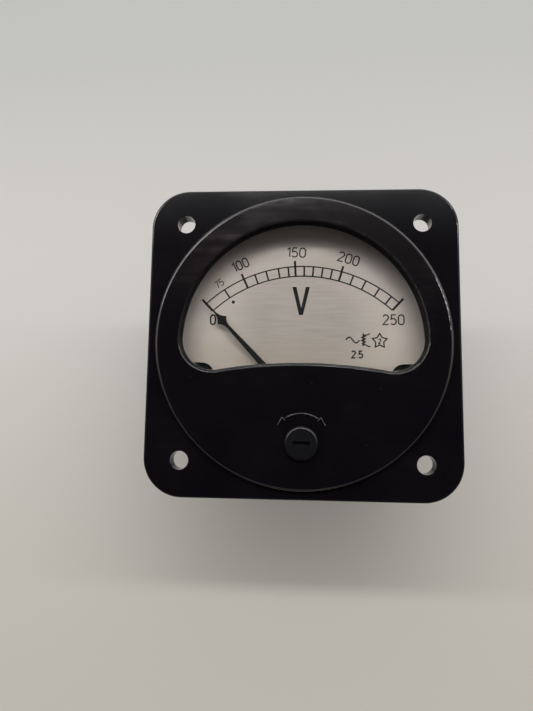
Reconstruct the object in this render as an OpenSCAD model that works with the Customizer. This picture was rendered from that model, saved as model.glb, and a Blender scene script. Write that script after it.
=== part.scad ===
// Flange-mounted analog panel voltmeter of the moving-iron kind.
// Every piece is drawn in face coordinates, x to the right, y up and z out of the dial towards the
// reader, with zero at the flange's back face on the axis of the barrel. upright() then stands it up.

/* [Flange] */
// Side of the square flange
flange_w = 80; // [76:0.5:96]
// Thickness of the flange
flange_t = 4.3; // [3.5:0.1:6]
// Radius of the flange's four corners
flange_corner_r = 10; // [6:0.5:14]
// Distance between neighbouring panel holes
hole_pitch = 61.5; // [60:0.1:64]
// Diameter of a panel hole
hole_d = 4.7; // [3:0.1:5.5]

/* [Raised front] */
// Diameter of the round front
front_d = 75.4; // [74:0.1:76]
// How far the round front stands out of the flange
front_rise = 1.8; // [1:0.1:3]
// Thickness of the front wall round the window
front_wall = 2.2; // [1.8:0.1:2.6]
// Radius of the flange's outer edge
edge_r = 0.6; // [0.3:0.1:1]
// Radius of the round front's outer edge
front_edge_r = 0.9; // [0.5:0.1:1.4]

/* [Window] */
// Radius of the window's round upper edge
window_r = 30.9; // [29.5:0.1:31.5]
// How far the centre of that round edge lies below the centre of the front
window_drop = 0.5; // [0:0.1:1]
// Height of the window's lower edge, measured on the centre line
window_low_y = -5.7; // [-8:0.1:-4]
// Radius of the bowed lower edge
window_low_r = 125; // [90:1:200]
// Radius of the two lower corners
window_corner_r = 8; // [6:0.5:11]
// How much the window widens from the glass to the front
window_draft = 0.6; // [0.2:0.05:0.9]
// Radius of the window's front edge
window_edge_r = 0.35; // [0.2:0.05:0.6]
// Thickness of the glass
glass_t = 1.6; // [1.2:0.1:2]

/* [Barrel] */
// Diameter of the barrel behind the flange
barrel_d = 73; // [72:0.1:74]
// Wall of the barrel
barrel_wall = 2.2; // [1.8:0.1:2.6]
// Depth of the barrel behind the flange
barrel_depth = 36.5; // [36:0.5:50]
// Length of the barrel that is moulded on the flange
collar_len = 8; // [7:0.5:10]
// Thickness of the rear wall
rear_wall = 2.5; // [2:0.1:3]

/* [Dial and pointer] */
// Distance from the flange's back face down to the printed face
dial_depth = 2.7; // [2.4:0.1:3.2]
// Thickness of the dial plate
dial_t = 0.8; // [0.5:0.1:1]
// Height of the pointer above the dial
pointer_gap = 1.8; // [1.6:0.05:3.5]
// Depth of the pivot below the centre of the front
pivot_drop = 16.7; // [16:0.1:17.4]
// Length from the pivot to the pointer's tip
pointer_len = 38.9; // [36:0.1:41]
// Angle of the zero mark, left of the vertical
zero_angle = 43.3; // [35:0.1:45]

/* [Zero corrector] */
// Depth of the corrector below the centre of the front
corrector_drop = 25.9; // [25.4:0.1:26.4]
// Diameter of the corrector's head
corrector_d = 8.3; // [7:0.1:10]
// Throw of the eccentric pin
throw = 1.5; // [1:0.1:1.6]

/* [Coil] */
// Outer diameter of the coil bobbin
bobbin_d = 27; // [24:0.5:27.4]
// Room behind the rear bridge for the pillars' nuts and the rear jewel screw
rear_room = 4.8; // [4:0.1:8]
// Diameter of the bobbin's bore
bobbin_bore = 13.2; // [12.4:0.1:14]

/* [Terminals] */
// Distance between the two terminal studs
stud_pitch = 30; // [26:0.5:34]
// Height of the studs above the centre of the barrel
stud_y = 14; // [12:0.5:16]
// Diameter of a terminal stud
stud_d = 5; // [4:0.5:6]
// Length of a stud behind the barrel
stud_out = 15.5; // [14:0.5:20]

/* [Hidden] */
$fn = 96;
phenolic = [0.06, 0.055, 0.06];
brass = [0.8, 0.65, 0.35];
steel = [0.6, 0.6, 0.62];
aluminium = [0.75, 0.75, 0.74];
copper = [0.7, 0.38, 0.2];

// clearances between pieces
slide_gap = 0.15;   // a spigot or glass in its seat
press_gap = 0.01;   // a hub staked on the spindle
run_gap = 0.05;     // a turning shaft in its hole
air_gap = 0.3;      // free faces that pass each other
eps = 0.01;         // how far a cutter reaches past the face that it cuts
over = 1;           // reach of a through cutter

// stations along the depth, from the front to the back
face_z = flange_t + front_rise;
wall_z = face_z - front_wall;
gasket_t = 0.3;
glass_front = wall_z - gasket_t;
glass_back = glass_front - glass_t;
retainer_t = 0.5;
retainer_back = glass_back - retainer_t;
dial_z = -dial_depth;
dial_back = dial_z - dial_t;
pointer_t = 0.35;
pointer_z = dial_z + pointer_gap;
plate_t = 1.2;
plate_back = dial_back - plate_t;
shoulder_t = 2.5;   // the pillars' shoulder, which holds the coil off the movement plate
spacer_t = 2.8;     // the spacer between the coil and the rear bridge
barrel_r = barrel_d / 2;
bore_r = barrel_r - barrel_wall;
floor_z = rear_wall - barrel_depth;
front_r = front_d / 2;

// the front bearing, in front of the dial
bridge_t = 0.9;
bridge_back = 0.9;
bridge_front = bridge_back + bridge_t;
lever_back = bridge_front + 0.15;
lever_t = 0.4;
lever_front = lever_back + lever_t;
jewel_screw_r = 1.25;
jewel_nut_t = 0.8;
washer_t = 0.12;
nut_back = lever_front + 2 * 0.03 + washer_t;
screw_front = nut_back + jewel_nut_t + 0.15;

// the coil and the rear bearing, which take the depth between the movement plate and the case's floor
coil_front = plate_back - shoulder_t;
rear_bridge_back = floor_z + rear_room;
rear_bridge_front = rear_bridge_back + plate_t;
coil_back = rear_bridge_front + spacer_t;
pivot = [0, -pivot_drop];
spindle_r = 0.6;
pivot_len = 0.85;
jewel_t = 0.7;
jewel_r = 0.9;
front_tip = bridge_back - 0.1 + 0.45;
rear_tip = rear_bridge_front + 0.8 - 0.45;

// how far the pointer can travel past each end of the scale, with the zero shifted as well
over_swing = 7.6;

// the fasteners' places on the face
retainer_holes = [20, -12.4];
movement_holes = [27, -8.9];
case_holes = [23.5, -20];
dial_holes = [19, -12.2];
pillar_x = 16.5;
bridge_holes = [11, -4.8];
damper_angle = zero_angle + over_swing + 10;
damper_r = 20.5;
m2_r = 1;
m2_head_r = 1.8;
m2_head_t = 1.1;
m3_r = 1.5;
m3_head_r = 2.75;
m3_head_t = 1.8;

// stands the face coordinates up: y becomes up, and z points to the front, which is -Y
module upright() rotate([90, 0, 0]) children();
// a copy on each side of the centre line
module both_sides() {
    children();
    mirror([1, 0, 0]) children();
}
// a copy at a place and one at the same place left of the centre line
module pair(place) for (side = [-1, 1]) translate([side * place[0], place[1]]) children();
// moves to the pivot, and turns to the pointer's rest place
module at_pivot() translate([0, -pivot_drop, 0]) children();
module at_zero() at_pivot() rotate([0, 0, zero_angle]) children();
// a disc or tube between two depths
module disc(r, from, to) translate([0, 0, min(from, to)]) cylinder(r = r, h = abs(to - from));
module tube(r_out, r_in, from, to) {
    difference() {
        disc(r_out, from, to);
        disc(r_in, min(from, to) - over, max(from, to) + over);
    }
}
// a flat shape between two depths
module sheet(from, to) translate([0, 0, min(from, to)]) linear_extrude(abs(to - from)) children();
// a bar from one point of the plane to another
module bar(a, b, w) {
    len = norm(b - a);
    translate(a) rotate(atan2(b[1] - a[1], b[0] - a[0])) translate([0, -w / 2]) square([len, w]);
}
// a cheese-head screw: head on the face at z, pointing back (side -1) or forward (side 1)
module screw(r, head_r, head_t, len, z, side) {
    difference() {
        union() {
            disc(head_r, z, z - side * head_t);
            disc(r, z, z + side * len);
        }
        slot_w = head_r * 0.3;
        slot_deep = head_t * 0.45;
        translate([-head_r - eps, -slot_w / 2, side > 0 ? z - head_t - eps : z + head_t - slot_deep])
            cube([2 * (head_r + eps), slot_w, slot_deep + eps]);
    }
}
// a nut whose corners are turned off at both faces
module hex_nut(flats, r_in, from, to) {
    low = min(from, to);
    high = max(from, to);
    face_r = flats * 0.475;
    outer_r = flats * 0.6;
    fall = (outer_r - face_r) * tan(30);
    difference() {
        intersection() {
            translate([0, 0, low]) cylinder(d = flats / cos(30), h = high - low, $fn = 6);
            rotate_extrude()
                polygon([[0, low], [face_r, low], [outer_r, low + fall],
                         [outer_r, high - fall], [face_r, high], [0, high]]);
        }
        disc(r_in, low - over, high + over);
    }
}

// ---------- the case ----------

// half-section of a slab with a rounded outer front edge
module edge_profile(r, t, e) {
    square([r - e, t]);
    translate([r - e, 0]) square([e, t - e]);
    translate([r - e, t - e]) intersection() {
        circle(e, $fn = 32);
        square(e);
    }
}
module rounded_slab(w, r, t, e) {
    inner = w / 2 - r;
    translate([-inner, -inner, 0]) cube([2 * inner, 2 * inner, t]);
    for (turn = [0:90:270]) rotate([0, 0, turn]) translate([inner, inner, 0]) {
        rotate_extrude(angle = 90) edge_profile(r, t, e);
        rotate([90, 0, 0]) linear_extrude(2 * inner) edge_profile(r, t, e);
    }
}

// the window: a round top, a bowed lower edge and two corner arcs that run into both, drawn from the
// centre of the round top
low_c = [0, window_low_y + window_drop - window_low_r];
bite = 0.02;   // how far a corner arc cuts past its neighbours, so that their walls cross
corner_reach = window_r - window_corner_r + bite;
low_reach = window_low_r + window_corner_r - bite;
corner_y = (corner_reach * corner_reach - low_reach * low_reach + low_c[1] * low_c[1]) / (2 * low_c[1]);
corner_c = [sqrt(corner_reach * corner_reach - corner_y * corner_y), corner_y];
top_turn = atan2(corner_c[1], corner_c[0]);
low_turn = atan2(low_c[1] - corner_c[1], -corner_c[0]);
function ray(turn, len) = [cos(turn), sin(turn)] * len;
// everything outside the corner arc, as seen from the arc's centre
module corner_wedge() {
    reach = 2 * window_corner_r;
    polygon([corner_c, corner_c + ray(low_turn, reach),
             corner_c + ray(low_turn, reach) + ray(top_turn, reach), corner_c + ray(top_turn, reach)]);
}
module window_outline(grow) translate([0, -window_drop]) {
    difference() {
        circle(window_r + grow, $fn = 180);
        translate(low_c) circle(window_low_r - grow, $fn = 720);
        both_sides() corner_wedge();
    }
    pair(corner_c) circle(window_corner_r + grow);
}
// half-section of the window's cutter at a round edge that opens to the front
module flare_profile(r) {
    back = wall_z - over;
    lip = face_z - window_edge_r;
    wide = r + window_draft;
    polygon([[0, back], [r, back], [r, wall_z], [wide, lip], [wide, face_z + over], [0, face_z + over]]);
    difference() {
        translate([wide - eps, lip]) square([window_edge_r + eps, window_edge_r + over]);
        translate([wide + window_edge_r, lip]) circle(window_edge_r, $fn = 32);
    }
}
// half-section of the solid below the window, which the bowed edge leaves standing
module sill_profile() {
    narrow = window_low_r - window_draft;
    lip = face_z - window_edge_r;
    inner = narrow - window_edge_r;
    polygon([[0, wall_z - 2 * over], [window_low_r, wall_z - 2 * over], [window_low_r, wall_z],
             [narrow, lip], [inner, lip], [inner, face_z + 2 * over], [0, face_z + 2 * over]]);
    translate([inner, lip]) intersection() {
        circle(window_edge_r, $fn = 32);
        square(window_edge_r);
    }
}
module window_cutter() translate([0, -window_drop, 0]) {
    difference() {
        rotate_extrude($fn = 180) flare_profile(window_r);
        translate(low_c) rotate_extrude($fn = 720) sill_profile();
        both_sides() sheet(wall_z - 2 * over, face_z + 2 * over) corner_wedge();
    }
    pair(corner_c) rotate_extrude() flare_profile(window_corner_r);
}

lap_len = 4.5;
lap_r = barrel_r - barrel_wall / 2;
well_z = -7;
boss_r = 3.2;
case_screw_len = 12;
case_hole_z = well_z - lap_len - 1 + case_screw_len + 1.9;
module front_cover() color(phenolic) upright() difference() {
    union() {
        difference() {
            union() {
                rounded_slab(flange_w, flange_corner_r, flange_t, edge_r);
                rotate_extrude($fn = 180) edge_profile(front_r, face_z, front_edge_r);
                disc(barrel_r, -collar_len, flange_t / 2);
            }
            disc(bore_r, -collar_len - over, wall_z);
            disc(lap_r, -collar_len - over, lap_len - collar_len);
        }
        both_sides() {
            translate(retainer_holes) disc(2.2, glass_back, wall_z + eps);
            translate(case_holes) disc(boss_r, well_z, wall_z + eps);
        }
    }
    window_cutter();
    for (x = [-1, 1], y = [-1, 1])
        translate([x, y] * hole_pitch / 2) disc(hole_d / 2, -over, flange_t + over);
    both_sides() {
        translate(retainer_holes) disc(m2_r - press_gap, glass_back - over, wall_z + 1.2);
        translate(case_holes) disc(m3_r + press_gap, well_z - over, case_hole_z);
    }
    translate([0, -corrector_drop]) disc(stem_r + run_gap, wall_z - over, face_z + over);
}

module window_gasket() color([0.15, 0.15, 0.14]) upright() sheet(glass_front, wall_z) difference() {
    window_outline(1.4);
    window_outline(0.5);
}
module window_glass() color([0.8, 0.9, 0.9, 0.3]) upright()
    sheet(glass_back, glass_front) window_outline(1.4);
module glass_retainer() color([0.2, 0.2, 0.2]) upright() sheet(retainer_back, glass_back) difference() {
    union() {
        window_outline(2.2);
        both_sides() {
            translate(retainer_holes) circle(2.4);
            bar([retainer_holes[0], retainer_holes[1]], [retainer_holes[0], window_low_y], 4.8);
        }
    }
    window_outline(0.7);
    pair(retainer_holes) circle(m2_r + slide_gap);
}
module retainer_screws() color(steel) upright() pair(retainer_holes)
    screw(m2_r - 2 * press_gap, m2_head_r, m2_head_t, wall_z - retainer_back + 1, retainer_back, 1);

// ---------- the zero corrector ----------
stem_r = 2.5;
clip_t = 0.4;
clip_z = wall_z - 0.45;
head_z = face_z + 0.08;
head_rise = 1.5;
head_edge_r = 0.6;
driver_slot = [4.2, 1.05, 1.1];
module corrector_screw() color(phenolic) upright() translate([0, -corrector_drop]) {
    difference() {
        union() {
            translate([0, 0, head_z]) rotate_extrude() edge_profile(corrector_d / 2, head_rise, head_edge_r);
            disc(stem_r, lever_front + 0.4, head_z + eps);
        }
        tube(stem_r + over, stem_r - 0.5, clip_z - clip_t - 0.02, clip_z + 0.02);
        translate([-driver_slot[0] / 2, -driver_slot[1] / 2, head_z + head_rise - driver_slot[2]])
            cube([driver_slot[0], driver_slot[1], driver_slot[2] + over]);
    }
    translate([0, -throw]) disc(pin_r, lever_back - 0.15, lever_front + 0.5);
}
module corrector_washer() color(steel) upright() translate([0, -corrector_drop])
    tube(stem_r + 1.2, stem_r + air_gap, clip_z + 0.05, wall_z);
module corrector_clip() color(steel) upright() translate([0, -corrector_drop]) sheet(clip_z - clip_t, clip_z)
    difference() {
        circle(stem_r + 1);
        circle(stem_r - 0.5 + press_gap);
        translate([-1.6, 0]) square([3.2, stem_r + 2]);
    }

// ---------- the rear case ----------
post_r = 3.2;
well_r = 3.1;
rear_edge_r = 2;
stud_boss_t = 2;
stud_boss_z = -barrel_depth - stud_boss_t;
spool_y = 19;
spool_bite = 1.6;   // how deep the spool's screw goes into the rear wall
movement_screw_len = 8.5;
module rear_shell() difference() {
    union() {
        translate([0, 0, -collar_len]) mirror([0, 0, 1]) rotate_extrude($fn = 180)
            edge_profile(barrel_r, barrel_depth - collar_len, rear_edge_r);
        disc(lap_r - slide_gap, -collar_len - eps, lap_len - collar_len - slide_gap);
    }
    disc(bore_r, floor_z, over);
}
module rear_case() color(phenolic) upright() difference() {
    union() {
        rear_shell();
        both_sides() {
            translate(movement_holes) disc(post_r, floor_z - eps, plate_back);
            sheet(floor_z - eps, -collar_len - lap_len)
                bar(movement_holes, movement_holes * (bore_r + 0.5) / norm(movement_holes), 2);
            intersection() {
                translate(case_holes) disc(well_r + 1.1, floor_z - eps, well_z - lap_len);
                disc(barrel_r - 0.5, floor_z - over, over);
            }
            translate(case_holes) disc(boss_r, well_z - lap_len - eps, well_z);
            translate([stud_pitch / 2, stud_y]) disc(stud_d / 2 + 3.5, stud_boss_z, floor_z - over);
        }
    }
    both_sides() {
        translate(movement_holes)
            disc(m3_r + press_gap, dial_back - movement_screw_len - 1.7, plate_back + over);
        translate(case_holes) disc(well_r, -barrel_depth - over, well_z - lap_len - 1);
        translate(case_holes) disc(m3_r + slide_gap, -barrel_depth, well_z + over);
        translate([stud_pitch / 2, stud_y]) disc(stud_d / 2 + slide_gap, stud_boss_z - over, over + floor_z);
    }
    translate([0, spool_y]) disc(m3_r + press_gap, floor_z - spool_bite - 0.2, floor_z + over);
}
module case_screws() color(steel) upright() pair(case_holes)
    screw(m3_r, m3_head_r, m3_head_t, case_screw_len, well_z - lap_len - 1, 1);

// ---------- the dial ----------
dial_r = bore_r - 0.4;
dial_low_y = -14.5;
notch_r = 3.7;
hub_room_r = 10.6;
module dial_outline() difference() {
    circle(dial_r, $fn = 180);
    translate([-barrel_r, dial_low_y - barrel_r]) square([barrel_d, barrel_r]);
    at_pivot() circle(hub_room_r);
    both_sides() {
        translate(movement_holes) circle(notch_r);
        translate(movement_holes - [0, notch_r]) square([barrel_r, 2 * notch_r]);
        translate(dial_holes) circle(m2_r + slide_gap);
    }
}
module dial_plate() color([0.66, 0.64, 0.6]) upright() sheet(dial_back, dial_z) dial_outline();
module dial_screws() color(steel) upright() pair(dial_holes)
    screw(m2_r - 2 * press_gap, m2_head_r, m2_head_t, dial_t + plate_t - eps, dial_z, -1);

// ---------- the frame of the movement ----------
ear_r = 3.6;
bar_top = -3.1;
bar_low = -12.5;
disc_r = 14.5;
module movement_plate() color([0.25, 0.25, 0.26]) upright() difference() {
    sheet(plate_back, dial_back) difference() {
        union() {
            at_pivot() circle(disc_r);
            at_pivot() translate([-pillar_x - 3.5, -3.5]) square([2 * pillar_x + 7, 7]);
            translate([-22, bar_low]) square([44, bar_top - bar_low]);
            pair(movement_holes) circle(ear_r);
            translate([-movement_holes[0], movement_holes[1] - ear_r + 0.3])
                square([2 * movement_holes[0], 2 * ear_r - 0.6]);
        }
        at_pivot() circle(3);
        both_sides() {
            translate(movement_holes) circle(m3_r + slide_gap);
            translate(dial_holes) circle(m2_r - press_gap);
            at_pivot() translate([pillar_x, 0]) circle(tenon_r + press_gap);
            at_pivot() translate(bridge_holes) circle(tenon_r + press_gap);
            at_pivot() translate(stop_place) circle(stop_r + press_gap);
            at_pivot() translate(damper_place) circle(m2_r + slide_gap);
        }
    }
    at_pivot() pair(damper_place) flush_cone(csk_r + 0.02);
}
module movement_screws() color([0.12, 0.12, 0.12]) upright() pair(movement_holes)
    screw(m3_r, m3_head_r, m3_head_t, movement_screw_len, dial_back, -1);

// countersunk heads lie flush under the dial
csk_r = 1.9;
damper_place = [sin(damper_angle), cos(damper_angle)] * damper_r;
module flush_cone(r) translate([0, 0, dial_back - (r - m2_r)])
    cylinder(r1 = m2_r, r2 = r + eps, h = r - m2_r + eps);
module damper_screws() color(steel) upright() at_pivot() pair(damper_place)
    difference() {
        union() {
            translate([0, 0, dial_back - (csk_r - m2_r)]) cylinder(r1 = m2_r, r2 = csk_r, h = csk_r - m2_r);
            disc(m2_r - 2 * press_gap, dial_back - 5, dial_back - (csk_r - m2_r));
        }
        translate([-csk_r, -0.25, dial_back - 0.5]) cube([2 * csk_r, 0.5, 1]);
    }

tenon_r = 1.2;
pillar_r = 2;
shoulder_r = 2.6;
cheek_t = 1.2;
module frame_pillars() color(brass) upright() at_pivot() pair([pillar_x, 0]) {
    disc(tenon_r, plate_back, dial_back);
    disc(shoulder_r, coil_front, plate_back);
    disc(pillar_r, rear_bridge_front, coil_front);
    disc(tenon_r, rear_bridge_back - 2.2, rear_bridge_front);
}
module pillar_spacers() color(brass) upright() at_pivot() pair([pillar_x, 0])
    tube(pillar_r + 0.9, pillar_r + run_gap, rear_bridge_front, coil_back);
module rear_bridge() color(brass) upright() at_pivot()
    sheet(rear_bridge_back, rear_bridge_front) difference() {
    union() {
        circle(5);
        translate([-pillar_x, -3]) square([2 * pillar_x, 6]);
        for (x = [-pillar_x, pillar_x]) translate([x, 0]) circle(3.4);
    }
    circle(jewel_screw_r + press_gap);
    pair([pillar_x, 0]) circle(tenon_r + run_gap);
}
module pillar_nuts() color(steel) upright() at_pivot() pair([pillar_x, 0])
    hex_nut(4.5, tenon_r + press_gap, rear_bridge_back - 1.8, rear_bridge_back);

bridge_screw_len = 3.2;
module bridge_posts() color(brass) upright() at_pivot() pair(bridge_holes) {
    disc(tenon_r, plate_back, dial_back);
    difference() {
        disc(1.7, dial_back, bridge_back);
        disc(m2_r - press_gap, bridge_front - bridge_screw_len - 0.7, bridge_back + over);
    }
}
module front_bridge() color(brass) upright() at_pivot() sheet(bridge_back, bridge_front) difference() {
    union() {
        circle(3.4);
        both_sides() {
            bar([0, 0], bridge_holes, 3.6);
            translate(bridge_holes) circle(2.4);
        }
    }
    circle(jewel_screw_r + press_gap);
    pair(bridge_holes) circle(m2_r + slide_gap);
}
module bridge_screws() color(steel) upright() at_pivot() pair(bridge_holes)
    screw(m2_r - 2 * press_gap, m2_head_r, m2_head_t, bridge_screw_len, bridge_front, -1);

// a jewel screw: slotted at its outer end, with the jewel's seat at the other
module jewel_screw(inner, outer) {
    way = sign(outer - inner);
    difference() {
        disc(jewel_screw_r, inner, outer);
        disc(jewel_r + press_gap, inner - way * eps, inner + way * jewel_t);
        translate([-jewel_screw_r - eps, -0.2, outer - 0.25 - (way > 0 ? 0.25 : 0)])
            cube([2 * (jewel_screw_r + eps), 0.4, 0.5 + eps]);
    }
}
// the jewel: a disc with a conical cup
module jewel(inner, way) translate([0, 0, inner]) mirror([0, 0, way > 0 ? 0 : 1]) difference() {
    cylinder(r = jewel_r, h = jewel_t);
    translate([0, 0, -eps]) cylinder(r1 = 0.55, r2 = 0.02, h = jewel_t - 0.1);
}
front_inner = bridge_back - 0.1;
rear_inner = rear_bridge_front + 0.8;
module front_jewel_screw() color(brass) upright() at_pivot() jewel_screw(front_inner, screw_front);
module front_jewel() color([0.75, 0.1, 0.2]) upright() at_pivot() jewel(front_inner, 1);
module front_jewel_nut() color(brass) upright() at_pivot()
    hex_nut(4.2, jewel_screw_r + press_gap, nut_back, nut_back + jewel_nut_t);
module lever_washer() color(steel) upright() at_pivot()
    tube(2.1, jewel_screw_r + run_gap, nut_back - washer_t, nut_back);
module rear_jewel_screw() color(brass) upright() at_pivot()
    jewel_screw(rear_inner, rear_bridge_back - 2.4);
module rear_jewel() color([0.75, 0.1, 0.2]) upright() at_pivot() jewel(rear_inner, -1);
module rear_jewel_nut() color(brass) upright() at_pivot()
    hex_nut(4.2, jewel_screw_r + press_gap, rear_bridge_back - 1.2, rear_bridge_back);

// ---------- the zero lever and the hairspring ----------
pin_r = 0.6;
fork_r = corrector_drop + throw - pivot_drop;
slot_play = 0.1;
tab_r = 5.7;
spring_z = [-0.1, 0.4];
module zero_lever() color(steel) upright() at_pivot() {
    sheet(lever_back, lever_front) difference() {
        union() {
            circle(2.7);
            bar([0, 0], [0, -fork_r - 1.4], 2 * (pin_r + slot_play) + 1.8);
            bar([0, 0], [0, tab_r + 0.4], 1.6);
        }
        circle(jewel_screw_r + run_gap);
        translate([0, -fork_r]) circle(pin_r + slot_play);
        translate([0, -fork_r + 0.9]) circle(pin_r + slot_play);
        translate([-pin_r - slot_play, -fork_r - 2]) square([2 * (pin_r + slot_play), 2.9]);
    }
    translate([-0.8, tab_r, spring_z[0]]) cube([1.6, 0.4, lever_back - spring_z[0] + eps]);
}
// a flat spiral of half turns about two centres, so that each meets the next smoothly
collet_r = 1.3;
spring_t = 0.12;
half_turns = 9;
spring_in = collet_r + run_gap;
spring_step = (tab_r - spring_in - spring_t) / half_turns;
module hairspring() color([0.45, 0.5, 0.6]) upright() at_pivot() rotate([0, 0, 90])
    for (k = [0:half_turns - 1]) {
        inner = spring_in + k * spring_step;
        translate([k % 2 == 0 ? 0 : spring_step, 0, spring_z[0]]) rotate([0, 0, 180 * (k % 2)])
            rotate_extrude(angle = 180) translate([inner, 0]) square([spring_t, spring_z[1] - spring_z[0]]);
    }

// ---------- the moving system ----------
hub_z = [-2, -1.3];
tail_z = -1.65;
module spindle() color(steel) upright() at_pivot() {
    disc(spindle_r, front_tip - pivot_len, rear_tip + pivot_len);
    translate([0, 0, front_tip - pivot_len]) cylinder(r1 = spindle_r, r2 = 0.05, h = pivot_len);
    translate([0, 0, rear_tip]) cylinder(r1 = 0.05, r2 = spindle_r, h = pivot_len);
}
module spring_collet() color(brass) upright() at_pivot()
    tube(collet_r, spindle_r + press_gap, spring_z[0] - 0.1, front_tip - pivot_len);
// the blade: a fine needle that widens to a spade and narrows again to a tapering shaft
spade_r = [28.3, 31.15, 34.8];
function spade(u, from, to) = from + (to - from) * u * u * u;
needle = 0.22;
tip = 0.16;
spade_half = 1.6;
neck_half = 0.45;
foot_half = 0.95;
steps = 8;
function blade_side() = concat(
    [[foot_half, 9.6], [neck_half, spade_r[0]]],
    [for (k = [1:steps]) [spade(k / steps, neck_half, spade_half),
                          spade_r[0] + (spade_r[1] - spade_r[0]) * k / steps]],
    [for (k = [1:steps]) [spade(1 - k / steps, needle, spade_half),
                          spade_r[1] + (spade_r[2] - spade_r[1]) * k / steps]],
    [[tip, pointer_len]]);
function mirrored(side) = [for (k = [len(side) - 1:-1:0]) [-side[k][0], side[k][1]]];
crank = [7.6, 9.6];
blade_base = hub_z[1];
module pointer() color([0.05, 0.05, 0.05]) upright() at_zero() {
    sheet(pointer_z, pointer_z + pointer_t) polygon(concat(blade_side(), mirrored(blade_side())));
    translate([-foot_half, 0]) rotate([90, 0, 90]) linear_extrude(2 * foot_half)
        polygon([[crank[0], blade_base], [crank[1], pointer_z], [crank[1], pointer_z + pointer_t],
                 [crank[0], blade_base + pointer_t]]);
    sheet(blade_base, blade_base + pointer_t) difference() {
        union() {
            circle(1.8);
            translate([-foot_half, 0]) square([2 * foot_half, crank[0]]);
        }
        circle(spindle_r + press_gap);
    }
}
tail_len = 10.2;
side_len = 7;
wire_r = 0.35;
module pointer_hub() color(brass) upright() at_zero() difference() {
    union() {
        disc(2.1, hub_z[0], hub_z[1]);
        translate([0, 0, tail_z]) rotate([90, 0, 0]) cylinder(r = wire_r, h = tail_len);
        translate([-side_len, 0, tail_z]) rotate([0, 90, 0]) cylinder(r = wire_r, h = 2 * side_len);
    }
    disc(spindle_r + press_gap, hub_z[0] - over, hub_z[1] + over);
}
weight_r = 1.3;
tail_weight = [7.2, 2.2];
side_weight = [5.6, 0.9];
module balance_weight(place, len) translate([0, -place, tail_z]) rotate([90, 0, 0]) difference() {
    translate([0, 0, -len / 2]) cylinder(r = weight_r, h = len);
    translate([0, 0, -len]) cylinder(r = wire_r + press_gap, h = 2 * len);
}
module balance_weights() color(brass) upright() at_zero() {
    balance_weight(tail_weight[0], tail_weight[1]);
    for (turn = [-90, 90]) rotate([0, 0, turn]) balance_weight(side_weight[0], side_weight[1]);
}

// ---------- the irons ----------
iron_t = 0.4;
iron_r = 4.9;
iron_z = [coil_front - 2.5, coil_back + 2.5];
iron_turn = 60;
iron_span = 64;
carrier_t = 0.5;
module arc_sheet(r, t, from, turn, span) translate([0, 0, from[1]]) rotate([0, 0, turn])
    rotate_extrude(angle = span) translate([r, 0]) square([t, from[0] - from[1]]);
module moving_iron() color(steel) upright() at_zero()
    arc_sheet(iron_r, iron_t, iron_z, iron_turn - iron_span / 2, iron_span);
module iron_carrier() color(aluminium) upright() at_zero() {
    tube(1.3, spindle_r + press_gap, iron_z[0] - 1, iron_z[1] + 1);
    for (z = [iron_z[0] - 1.5, iron_z[1] + 1])
        sheet(z, z + carrier_t) difference() {
            rotate(iron_turn) translate([0, -0.8]) square([iron_r - press_gap, 1.6]);
            circle(spindle_r + press_gap);
            difference() {
                circle(iron_r + 1);
                circle(iron_r - 0.02);
            }
        }
}
// the fixed iron is a tongue that narrows along the swing
tongue_span = 116;
module fixed_iron() color(steel) upright() at_zero() difference() {
    arc_sheet(bobbin_bore / 2 - iron_t - 0.05, iron_t, iron_z, iron_turn + 30 - tongue_span, tongue_span);
    for (side = [-1, 1]) translate([0, 0, (iron_z[0] + iron_z[1]) / 2]) rotate([0, 0, iron_turn + 30])
        rotate([-side * 25, 0, 0]) translate([-bobbin_bore, -bobbin_bore, side > 0 ? 6.6 : -16.6])
            cube([2 * bobbin_bore, 2 * bobbin_bore, 10]);
}

// ---------- the air damper ----------
channel_r = [16.9, 24.1];
channel_wall = 0.8;
lid_t = 0.5;
lid_z = plate_back - 2;
channel_back = lid_z - 9;
sweep = zero_angle + over_swing + 1.6;
arm_z = [plate_back - 1.4, plate_back - 1];
stem_span = [19.7, 21.3];
vane_t = 0.3;
vane_gap = 0.3;
module band(r_in, r_out, half, from, to) translate([0, 0, to]) rotate([0, 0, 90 - half])
    rotate_extrude(angle = 2 * half) translate([r_in, 0]) square([r_out - r_in, from - to]);
module damping_chamber() color(aluminium) upright() at_pivot() difference() {
    union() {
        band(channel_r[0] - channel_wall, channel_r[1] + channel_wall, sweep + 3,
             lid_z, channel_back - channel_wall);
        pair(damper_place) disc(1.9, plate_back, plate_back - 9);
    }
    band(channel_r[0], channel_r[1], sweep + 0.8, lid_z + over, channel_back);
    pair(damper_place) disc(m2_r - press_gap, plate_back - 6, plate_back + over);
}
module damper_lid() color(aluminium) upright() at_pivot() difference() {
    band(channel_r[0] - channel_wall, channel_r[1] + channel_wall, sweep + 2.9, lid_z + lid_t, lid_z);
    band(stem_span[0] - 0.4, stem_span[1] + 0.4, sweep, lid_z + lid_t + over, lid_z - over);
    pair(damper_place) disc(1.9 + slide_gap, lid_z - over, lid_z + over);
}
module damping_vane() color(aluminium) upright() at_zero() {
    difference() {
        union() {
            disc(1.9, arm_z[0] - 0.2, arm_z[1] + 0.3);
            translate([-0.8, 0, arm_z[0]]) cube([1.6, stem_span[1], arm_z[1] - arm_z[0]]);
        }
        disc(spindle_r + press_gap, arm_z[0] - over, arm_z[1] + over);
    }
    translate([-vane_t / 2, stem_span[0], lid_z - 1])
        cube([vane_t, stem_span[1] - stem_span[0], arm_z[0] - lid_z + 1 + eps]);
    translate([-vane_t / 2, channel_r[0] + vane_gap, channel_back + vane_gap])
        cube([vane_t, channel_r[1] - channel_r[0] - 2 * vane_gap, lid_z - channel_back - 2 * vane_gap]);
}

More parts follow.
